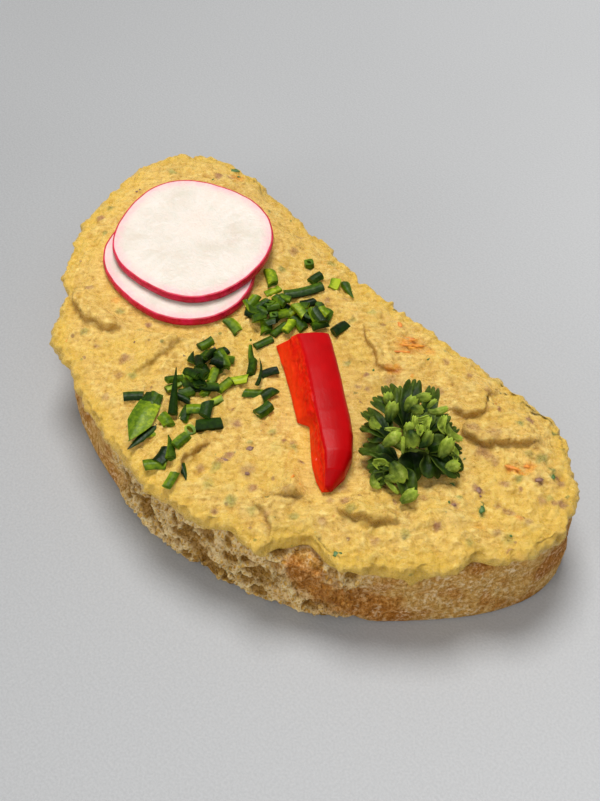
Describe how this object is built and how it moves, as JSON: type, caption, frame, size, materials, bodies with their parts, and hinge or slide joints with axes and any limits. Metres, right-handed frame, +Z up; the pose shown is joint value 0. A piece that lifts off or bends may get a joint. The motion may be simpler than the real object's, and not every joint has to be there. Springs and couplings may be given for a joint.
{
  "type": "open vegetable sandwich",
  "caption": "Slice of crusty white loaf under a thick savoury spread, topped with radish slices, a red pepper strip, chopped chives and a curly parsley sprig.",
  "frame": {"origin": "on the flat underside of the slice, under its middle", "axes": "+X along the slice to its broad end, +Y to the flat base of the loaf, +Z up"},
  "size_m": [0.1261, 0.0691, 0.0279],
  "materials": {
    "bread": "floury, rough, torn crumb",
    "spread": "moist, uneven, knife-spread",
    "radish": "wet cut flesh with a thin red skin",
    "pepper": "glossy skin, satin cut flesh",
    "parsley": "fresh satin leaf"
  },
  "bodies": {
    "root": {"bread": "bread", "spread": "spread", "radish_lower": "radish", "radish_upper": "radish", "pepper_strip": "pepper", "parsley": "parsley"}
  },
  "joints": []
}
